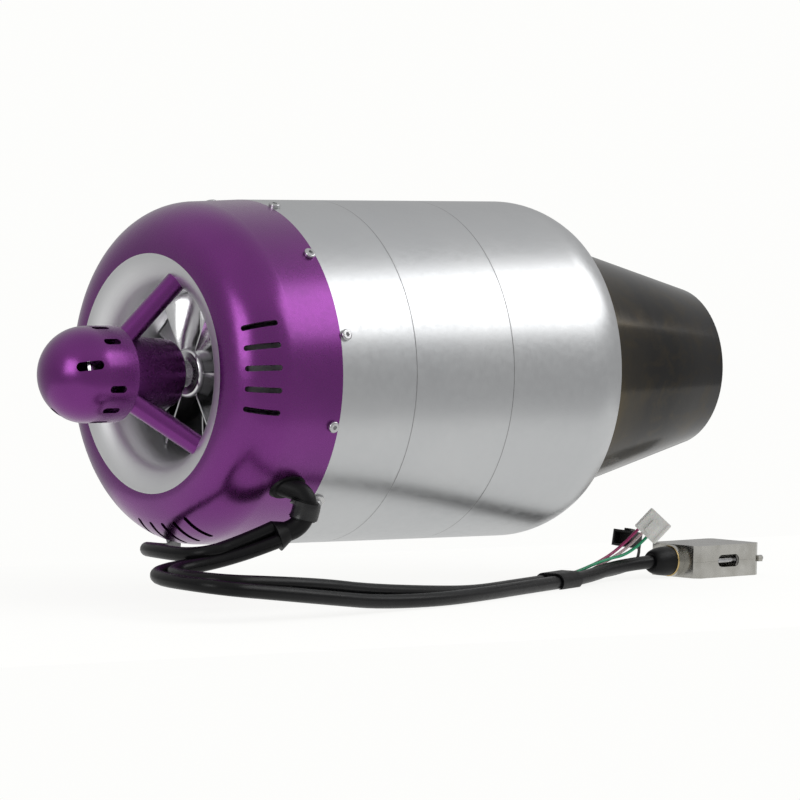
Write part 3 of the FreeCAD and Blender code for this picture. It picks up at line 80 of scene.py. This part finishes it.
# ---- cords ----
def cord_curve(name, points, diameter):
    """A tube of a bevel of 1 m scaled by its points' radius, which is also what pads a curve's box."""
    data = bpy.data.curves.new(name, "CURVE")
    data.dimensions = "3D"
    spline = data.splines.new("NURBS")
    spline.points.add(len(points) - 1)
    for point, place in zip(spline.points, points):
        point.co = (*place, 1.0)
        point.radius = diameter / 2
    spline.order_u = 3
    spline.use_endpoint_u = True
    spline.resolution_u = 14
    data.bevel_depth = 1.0
    data.bevel_resolution = 6
    data.use_fill_caps = True
    piece = bpy.data.objects.new(name, data)
    bpy.context.scene.collection.objects.link(piece)
    return piece


CABLE = 0.007
WIRE = 0.0016
CABLES = {
    "loop": [(-0.1027, -0.0679, -0.0711), (-0.1149, -0.0633, -0.0770), (-0.1425, -0.062, -0.0845),
             (-0.1425, -0.012, -0.0838), (-0.1142, 0.006, -0.0872), (-0.0852, 0.042, -0.0905),
             (-0.0492, 0.087, -0.092), (-0.0612, 0.098, -0.06), (-0.0976, 0.0686, -0.052)],
    "signal": [(-0.0993, -0.0653, -0.077), (-0.122, -0.0568, -0.0865), (-0.1712, -0.0523, -0.0928),
               (-0.1712, -0.1143, -0.0938), (-0.1302, -0.113, -0.0982), (-0.0932, -0.1065, -0.1024),
               (-0.0612, -0.0975, -0.106), (-0.0152, -0.086, -0.1075), (0.0288, -0.068, -0.1075),
               (0.0708, -0.0467, -0.1075), (0.1328, -0.0173, -0.1075), (0.1683, -0.0014, -0.1032),
               (0.1939, 0.0027, -0.1025)],
    "power": [(-0.1019, -0.0721, -0.077), (-0.1228, -0.0643, -0.0857), (-0.1642, -0.0595, -0.0915),
              (-0.1642, -0.107, -0.0918), (-0.1242, -0.106, -0.0943), (-0.0932, -0.1, -0.097),
              (-0.0622, -0.091, -0.101), (-0.0172, -0.0792, -0.1045), (0.0258, -0.0612, -0.1074),
              (0.0678, -0.0401, -0.1075), (0.1082, -0.0209, -0.1075)],
}
WIRES = {
    "magenta": [(0.1197, -0.0141, -0.1063), (0.1308, -0.0088, -0.106), (0.1548, -0.003, -0.101),
                (0.1739, 0.0018, -0.0935), (0.1805, -0.0029, -0.0846)],
    "white": [(0.1207, -0.0163, -0.1087), (0.1318, -0.011, -0.1087), (0.1568, 0.0, -0.103),
              (0.1782, 0.0035, -0.0957), (0.1847, -0.0012, -0.0868)],
    "green": [(0.1207, -0.0163, -0.1063), (0.1318, -0.011, -0.1052), (0.1548, -0.0065, -0.0994),
              (0.1774, -0.0011, -0.0975), (0.1839, -0.0058, -0.0886)],
    "black": [(0.1197, -0.0141, -0.1087), (0.1318, -0.0084, -0.1087), (0.1588, 0.003, -0.1096),
              (0.1838, 0.014, -0.1086), (0.2052, 0.0277, -0.107), (0.2054, 0.0243, -0.0943),
              (0.1935, 0.0173, -0.0922)],
}
pieces = {}
for key, points in CABLES.items():
    piece = cord_curve("cord_" + key, points, CABLE)
    pieces["cable_" + key] = piece
    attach(piece, "engine")
    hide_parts("cable_" + key)
for key, points in WIRES.items():
    piece = cord_curve("lead_" + key, points, WIRE)
    pieces["wire_" + key] = piece
    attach(piece, "engine")
    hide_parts("wire_" + key)


# ---- materials ----
def fill_ramp(elements, stops):
    """Each stop is (position, colour), and a bare number stands for a grey."""
    while len(elements) < len(stops):
        elements.new(0.5)
    for element, (at, value) in zip(elements, stops):
        element.position = at
        element.color = (*value, 1.0) if isinstance(value, tuple) else (value, value, value, 1.0)


def middle_of(name):
    low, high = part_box(name)
    return (Vector(low) + Vector(high)) / 2


class Surface:
    """A material made from nodes. The values that are the same all over are set on the shader."""

    def __init__(self, name, colour, metallic, roughness, **values):
        self.material = bpy.data.materials.new(name)
        self.material.use_nodes = True
        self.tree = self.material.node_tree
        self.shader = self.tree.nodes["Principled BSDF"]
        self.shader.inputs["Base Color"].default_value = (*colour, 1.0)
        self.shader.inputs["Metallic"].default_value = metallic
        self.shader.inputs["Roughness"].default_value = roughness
        for key, value in values.items():
            self.shader.inputs[key.replace("_", " ")].default_value = value

    def node(self, kind, **settings):
        node = self.tree.nodes.new("ShaderNode" + kind)
        for key, value in settings.items():
            setattr(node, key, value)
        return node

    def link(self, output, target):
        self.tree.links.new(output, target)

    def place(self):
        """The point on the part, in metres in the part's own frame."""
        return self.node("TexCoord").outputs["Object"]

    def math(self, operation, a, b=None):
        node = self.node("Math", operation=operation)
        for socket, value in zip(node.inputs, (a, b)):
            if isinstance(value, (int, float)):
                socket.default_value = value
            elif value is not None:
                self.link(value, socket)
        return node.outputs[0]

    def turning(self):
        """Station and radius, so that a texture runs in rings round the engine's axis."""
        parts = self.node("SeparateXYZ")
        self.link(self.place(), parts.inputs[0])
        y, z = parts.outputs["Y"], parts.outputs["Z"]
        radius = self.math("SQRT", self.math("ADD", self.math("MULTIPLY", y, y), self.math("MULTIPLY", z, z)))
        joined = self.node("CombineXYZ")
        self.link(parts.outputs["X"], joined.inputs[0])
        self.link(radius, joined.inputs[1])
        return joined.outputs[0]

    def station(self):
        parts = self.node("SeparateXYZ")
        self.link(self.place(), parts.inputs[0])
        return parts.outputs["X"]

    def noise(self, scale, detail=2.0, roughness=0.5, where=None, distortion=0.0):
        node = self.node("TexNoise")
        self.link(where or self.place(), node.inputs["Vector"])
        node.inputs["Scale"].default_value = scale
        node.inputs["Detail"].default_value = detail
        node.inputs["Roughness"].default_value = roughness
        node.inputs["Distortion"].default_value = distortion
        return node.outputs["Fac"]

    def ramp(self, fac, stops):
        node = self.node("ValToRGB")
        self.link(fac, node.inputs[0])
        fill_ramp(node.color_ramp.elements, stops)
        return node.outputs[0]

    def mix(self, fac, a, b):
        node = self.node("Mix", data_type="RGBA")
        for socket, value in ((node.inputs[0], fac), (node.inputs[6], a), (node.inputs[7], b)):
            if isinstance(value, tuple):
                socket.default_value = (*value, 1.0)
            elif isinstance(value, float):
                socket.default_value = value
            else:
                self.link(value, socket)
        return node.outputs[2]

    def colour(self, output):
        self.link(output, self.shader.inputs["Base Color"])
        return self

    def rough(self, output):
        self.link(output, self.shader.inputs["Roughness"])
        return self

    def bump(self, *layers):
        """Each layer is (height, depth in metres)."""
        normal = None
        for height, depth in layers:
            node = self.node("Bump")
            node.inputs["Strength"].default_value = 1.0
            node.inputs["Distance"].default_value = depth
            self.link(height, node.inputs["Height"])
            if normal is not None:
                self.link(normal, node.inputs["Normal"])
            normal = node.outputs[0]
        self.link(normal, self.shader.inputs["Normal"])
        return self

    def ringed(self, amount):
        """Highlights stretched across the turning marks."""
        self.shader.inputs["Anisotropic"].default_value = amount
        tangent = self.node("Tangent", direction_type="RADIAL", axis="X")
        self.link(tangent.outputs[0], self.shader.inputs["Tangent"])
        return self


def anodised_purple():
    s = Surface("anodised_purple", (0.19, 0.019, 0.22), 1.0, 0.3, Coat_Weight=0.75, Coat_Roughness=0.24)
    s.colour(s.ramp(s.noise(26, 3, 0.55), [(0.25, (0.165, 0.015, 0.195)), (0.75, (0.205, 0.021, 0.235))]))
    s.rough(s.ramp(s.noise(420, 2), [(0.3, 0.25), (0.7, 0.31)]))
    return s.bump((s.noise(2600, 2), 0.0000012), (s.noise(1, 2, where=stretched(s, 5200, 5200)), 0.0000006))


def stretched(s, along, radial):
    node = s.node("Mapping")
    node.inputs["Scale"].default_value = (along, radial, 1.0)
    s.link(s.turning(), node.inputs[0])
    return node.outputs[0]


def seams(s):
    """1 on the two joints of the casing, which are the ends of the clamp land, and 0 elsewhere."""
    land = next(m for m in frame["record"]["mounts"] if m["name"] == "casing_clamp_land")
    half = land["dims"]["length_mm"] / 2000
    off = s.math("ABSOLUTE", s.math("SUBTRACT", s.math("ABSOLUTE", s.station()), half))
    return s.ramp(s.math("MULTIPLY", off, 2500), [(0.25, 1.0), (0.75, 0.0)])


def blasted_aluminium():
    s = Surface("blasted_aluminium", (0.62, 0.63, 0.64), 1.0, 0.34)
    shade = s.ramp(s.noise(9, 4, 0.6), [(0.3, (0.585, 0.597, 0.61)), (0.7, (0.645, 0.653, 0.66))])
    seam = seams(s)
    s.colour(s.mix(seam, shade, (0.34, 0.34, 0.345)))
    s.rough(s.ramp(s.noise(300, 3), [(0.3, 0.29), (0.7, 0.37)]))
    return s.bump((s.noise(2200, 3, 0.6), 0.000007), (seam, -0.00015))


def turned_aluminium():
    s = Surface("turned_aluminium", (0.78, 0.785, 0.79), 1.0, 0.45)
    s.colour(s.ramp(s.noise(18, 3), [(0.3, (0.74, 0.745, 0.755)), (0.7, (0.82, 0.825, 0.83))]))
    s.rough(s.ramp(s.noise(1, 2, where=stretched(s, 900, 900)), [(0.3, 0.42), (0.7, 0.52)]))
    s.bump((s.noise(1, 2, where=stretched(s, 3200, 3200)), 0.000006), (s.noise(2600, 2), 0.000004))
    return s.ringed(0.35)


def machined_aluminium():
    s = Surface("machined_aluminium", (0.82, 0.82, 0.83), 1.0, 0.16)
    s.colour(s.ramp(s.noise(60, 3), [(0.3, (0.72, 0.72, 0.73)), (0.7, (0.87, 0.87, 0.88))]))
    s.rough(s.ramp(s.noise(1, 2, where=stretched(s, 1500, 1500)), [(0.3, 0.12), (0.7, 0.24)]))
    return s.bump((s.noise(1, 2, where=stretched(s, 2400, 2400)), 0.000012))


def tinted_nozzle():
    s = Surface("tinted_nozzle", (0.10, 0.095, 0.09), 1.0, 0.2)
    ramped = s.node("MapRange")
    ramped.inputs["From Min"].default_value = 0.095
    ramped.inputs["From Max"].default_value = 0.204
    wander = s.math("MULTIPLY", s.math("SUBTRACT", s.noise(24, 4, 0.6), 0.5), 0.03)
    s.link(s.math("ADD", s.station(), wander), ramped.inputs["Value"])
    tint = s.ramp(ramped.outputs[0], [
        (0.0, (0.068, 0.060, 0.044)), (0.12, (0.125, 0.098, 0.052)), (0.24, (0.070, 0.063, 0.052)),
        (0.42, (0.044, 0.042, 0.040)), (0.62, (0.042, 0.041, 0.040)), (0.82, (0.062, 0.060, 0.058)),
        (1.0, (0.058, 0.058, 0.059))])
    stain = s.ramp(s.noise(70, 5, 0.7, distortion=0.6), [(0.48, 0.0), (0.72, 0.55)])
    s.colour(s.mix(stain, tint, (0.095, 0.075, 0.045)))
    s.rough(s.ramp(s.noise(1, 3, where=stretched(s, 700, 700)), [(0.25, 0.11), (0.75, 0.2)]))
    s.bump((s.noise(1, 2, where=stretched(s, 1800, 1800)), 0.000006), (s.noise(38, 2), 0.0001))
    return s


def hot_metal():
    s = Surface("hot_metal", (0.30, 0.26, 0.22), 1.0, 0.34)
    s.colour(s.ramp(s.noise(55, 4, 0.6), [(0.25, (0.15, 0.13, 0.12)), (0.5, (0.32, 0.25, 0.18)),
                                         (0.75, (0.36, 0.33, 0.32))]))
    s.rough(s.ramp(s.noise(160, 3), [(0.3, 0.26), (0.7, 0.44)]))
    return s.bump((s.noise(900, 3), 0.000012))


def ground_steel(name, colour, low, high, scale=900):
    s = Surface(name, colour, 1.0, low)
    darker = tuple(c * 0.82 for c in colour)
    s.colour(s.ramp(s.noise(240, 3), [(0.3, darker), (0.7, colour)]))
    s.rough(s.ramp(s.noise(scale, 3), [(0.3, low), (0.7, high)]))
    return s.bump((s.noise(scale * 2.5, 2), 0.000006))


def cast_zinc():
    s = Surface("cast_zinc", (0.52, 0.51, 0.475), 1.0, 0.3)
    s.colour(s.ramp(s.noise(130, 4, 0.6), [(0.25, (0.41, 0.40, 0.365)), (0.75, (0.60, 0.59, 0.56))]))
    s.rough(s.ramp(s.noise(520, 3), [(0.3, 0.16), (0.7, 0.3)]))
    return s.bump((s.noise(420, 3, 0.6), 0.000014), (s.noise(2800, 2), 0.000004))


def rubber(name, colour, low, high, grain=900, depth=0.00001):
    s = Surface(name, colour, 0.0, low, Specular_IOR_Level=0.2)
    lighter = tuple(min(1.0, c * 1.6 + 0.001) for c in colour)
    s.colour(s.ramp(s.noise(140, 4, 0.6), [(0.3, colour), (0.8, lighter)]))
    s.rough(s.ramp(s.noise(380, 3), [(0.3, low), (0.7, high)]))
    return s.bump((s.noise(grain, 3), depth), (s.noise(60, 2), depth * 6))


def plastic(name, colour, rough_low, rough_high, vary=0.9):
    s = Surface(name, colour, 0.0, rough_low, Subsurface_Weight=0.05, Subsurface_Scale=0.002)
    low = tuple(c * vary for c in colour)
    s.colour(s.ramp(s.noise(180, 3), [(0.3, low), (0.7, colour)]))
    s.rough(s.ramp(s.noise(600, 2), [(0.3, rough_low), (0.7, rough_high)]))
    return s.bump((s.noise(1600, 2), 0.000006))


def circuit_board():
    s = Surface("circuit_board", (0.02, 0.12, 0.05), 0.0, 0.35)
    cells = s.node("TexBrick")
    s.link(s.place(), cells.inputs["Vector"])
    cells.inputs["Scale"].default_value = 180
    cells.inputs["Color1"].default_value = (0.015, 0.10, 0.045, 1)
    cells.inputs["Color2"].default_value = (0.02, 0.13, 0.06, 1)
    cells.inputs["Mortar"].default_value = (0.05, 0.19, 0.08, 1)
    s.colour(cells.outputs["Color"])
    return s.bump((s.noise(1200, 2), 0.00001))


def copper_winding():
    s = Surface("copper_winding", (0.55, 0.22, 0.09), 1.0, 0.28)
    wave = s.node("TexWave", wave_type="BANDS", bands_direction="X")
    s.link(s.place(), wave.inputs["Vector"])
    wave.inputs["Scale"].default_value = 260
    wave.inputs["Distortion"].default_value = 0.6
    s.colour(s.ramp(wave.outputs["Fac"], [(0.1, (0.28, 0.09, 0.035)), (0.8, (0.66, 0.28, 0.12))]))
    return s.bump((wave.outputs["Fac"], 0.0002))


MATERIALS = {
    "purple_anodised": anodised_purple(),
    "case_aluminium": blasted_aluminium(),
    "intake_aluminium": turned_aluminium(),
    "machined_aluminium": machined_aluminium(),
    "nozzle_alloy": tinted_nozzle(),
    "hot_alloy": hot_metal(),
    "steel": ground_steel("ground_steel", (0.56, 0.56, 0.57), 0.2, 0.32),
    "screw_steel": ground_steel("screw_steel", (0.62, 0.62, 0.63), 0.17, 0.27),
    "ceramic": ground_steel("ball_ceramic", (0.10, 0.10, 0.11), 0.08, 0.14),
    "copper": copper_winding(),
    "black_rubber": rubber("black_rubber", (0.004, 0.004, 0.0045), 0.36, 0.48),
    "black_cable": rubber("black_cable", (0.003, 0.003, 0.0035), 0.26, 0.35, grain=1300, depth=0.000006),
    "wire_magenta": plastic("wire_magenta", (0.42, 0.035, 0.16), 0.25, 0.35),
    "wire_white": plastic("wire_white", (0.78, 0.62, 0.64), 0.25, 0.35),
    "wire_green": plastic("wire_green", (0.02, 0.36, 0.17), 0.25, 0.35),
    "wire_black": plastic("wire_black", (0.025, 0.025, 0.027), 0.25, 0.35),
    "white_nylon": plastic("white_nylon", (0.83, 0.83, 0.80), 0.38, 0.5, 0.95),
    "black_nylon": plastic("black_nylon", (0.018, 0.018, 0.019), 0.35, 0.48),
    "zinc": cast_zinc(),
    "circuit_board": circuit_board(),
    "brass_fitting": ground_steel("brass_fitting", (0.70, 0.52, 0.24), 0.18, 0.3),
}


def cushioned_steel():
    """The clip's ear is bare steel, and its loop is wrapped in the rubber of its cushion."""
    s = ground_steel("clip_steel", (0.66, 0.66, 0.66), 0.22, 0.34)
    offset = s.node("VectorMath", operation="DISTANCE")
    s.link(s.place(), offset.inputs[0])
    offset.inputs[1].default_value = middle_of("clip_cushion")
    per_metre = 60
    bare = s.ramp(s.math("MULTIPLY", offset.outputs["Value"], per_metre), [(0.56, 0.0), (0.58, 1.0)])
    s.link(bare, s.shader.inputs["Metallic"])
    s.colour(s.mix(bare, (0.009, 0.009, 0.010), s.ramp(s.noise(240, 3), [(0.3, (0.54, 0.54, 0.54)),
                                                                        (0.7, (0.68, 0.68, 0.68))])))
    return s


slot_of = {entry["node"]: entry["material_slot"] for entry in frame["record"]["subparts"]}
for name, obj in nodes.items():
    for slot in obj.material_slots:
        slot.material = MATERIALS[slot_of[name]].material
for slot in nodes["cable_clip"].material_slots:
    slot.material = cushioned_steel().material
for name, piece in pieces.items():
    piece.data.materials.append(MATERIALS[slot_of[name]].material)


# ---- the ring between the boot and the ferrule ----
def torus(name, middle, way, ring_radius, wire_radius, around=64, section=14):
    way = way.normalized()
    side = way.orthogonal().normalized()
    other = way.cross(side)
    points, faces = [], []
    for k in range(around):
        turn = 2 * math.pi * k / around
        outward = side * math.cos(turn) + other * math.sin(turn)
        for j in range(section):
            tilt = 2 * math.pi * j / section
            points.append(middle + outward * (ring_radius + wire_radius * math.cos(tilt))
                          + way * (wire_radius * math.sin(tilt)))
            here, ahead = k * section, (k + 1) % around * section
            after = (j + 1) % section
            faces.append((here + j, ahead + j, ahead + after, here + after))
    mesh = bpy.data.meshes.new(name)
    mesh.from_pydata(points, [], faces)
    mesh.polygons.foreach_set("use_smooth", [True] * len(faces))
    piece = bpy.data.objects.new(name, mesh)
    bpy.context.scene.collection.objects.link(piece)
    return piece


RING_R = 0.0077
RING_WIRE_R = 0.0005
RING_BACK = 0.002       # from the middle of the ferrule to its end at the boot


def boot_ring():
    way = (middle_of("hood_ferrule") - middle_of("connector_boot")).normalized()
    ring = torus("boot_ring", middle_of("hood_ferrule") - way * RING_BACK, way, RING_R, RING_WIRE_R)
    ring.data.materials.append(MATERIALS["brass_fitting"].material)
    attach(ring, "engine")


boot_ring()


# ---- worn and moulded edges ----
EDGE_RADIUS = {
    "hood_lower": 0.0009, "hood_upper": 0.0009, "hood_ferrule": 0.0004, "white_plug": 0.0003,
    "black_plug": 0.0003, "cable_clip": 0.00025, "casing_screws": 0.0002, "strut_screws": 0.0002,
}


def round_edges():
    for name, radius in EDGE_RADIUS.items():
        bevel = nodes[name].modifiers.new("edges", "BEVEL")
        bevel.width = radius
        bevel.segments = 2
        bevel.limit_method = "ANGLE"
        bevel.angle_limit = math.radians(40)
        bevel.use_clamp_overlap = True


round_edges()


# ---- studio ----
def area_light(name, place, aim, width, height, power):
    data = bpy.data.lights.new(name, "AREA")
    data.shape = "RECTANGLE"
    data.size = width
    data.size_y = height
    data.energy = power
    light = bpy.data.objects.new(name, data)
    bpy.context.scene.collection.objects.link(light)
    light.location = place
    light.rotation_euler = (Vector(aim) - Vector(place)).to_track_quat("-Z", "Y").to_euler()


def studio():
    area_light("strip", (0.80, -0.62, 0.74), (0.03, -0.03, 0.03), 1.2, 0.62, 4.6)
    area_light("front_left", (-1.7, -0.5, 0.55), (-0.1, 0.0, 0.0), 0.8, 0.9, 5.5)
    world = bpy.data.worlds.new("studio")
    bpy.context.scene.world = world
    world.use_nodes = True
    tree = world.node_tree
    background = tree.nodes["Background"]
    coords = tree.nodes.new("ShaderNodeTexCoord")
    parts = tree.nodes.new("ShaderNodeSeparateXYZ")
    tree.links.new(coords.outputs["Generated"], parts.inputs[0])
    lift = tree.nodes.new("ShaderNodeMapRange")
    lift.inputs["From Min"].default_value = -1.0
    lift.inputs["From Max"].default_value = 1.0
    tree.links.new(parts.outputs["Z"], lift.inputs["Value"])
    ramp = tree.nodes.new("ShaderNodeValToRGB")
    tree.links.new(lift.outputs[0], ramp.inputs[0])
    stops = [(0.0, 0.5), (0.3, 0.5), (0.46, 0.42), (0.55, 0.42), (0.75, 0.5), (0.9, 0.62), (1.0, 0.6)]
    fill_ramp(ramp.color_ramp.elements, stops)
    white = tree.nodes.new("ShaderNodeMix")
    white.data_type = "RGBA"
    white.inputs[7].default_value = PAPER_WHITE
    seen = tree.nodes.new("ShaderNodeLightPath")
    tree.links.new(seen.outputs["Is Camera Ray"], white.inputs[0])
    tree.links.new(ramp.outputs[0], white.inputs[6])
    tree.links.new(white.outputs[2], background.inputs[0])


def make_floor():
    mesh = bpy.data.meshes.new("floor")
    mesh.from_pydata([(-0.5, -0.24, FLOOR), (0.6, -0.24, FLOOR), (0.6, 0.2, FLOOR), (-0.5, 0.2, FLOOR)],
                     [], [(0, 1, 2, 3)])
    floor = bpy.data.objects.new("floor", mesh)
    bpy.context.scene.collection.objects.link(floor)
    s = Surface("floor", (0.16, 0.16, 0.16), 0.0, 0.9, Specular_IOR_Level=0.0)
    s.shader.inputs["Emission Color"].default_value = (1.0, 1.0, 0.985, 1.0)
    seen = s.node("LightPath").outputs["Is Camera Ray"]
    glow = s.math("ADD", s.math("MULTIPLY", seen, FLOOR_SEEN_EXTRA), FLOOR_REFLECTED)
    s.link(glow, s.shader.inputs["Emission Strength"])
    mesh.materials.append(s.material)


studio()
make_floor()
bpy.context.scene.view_settings.view_transform = "Standard"
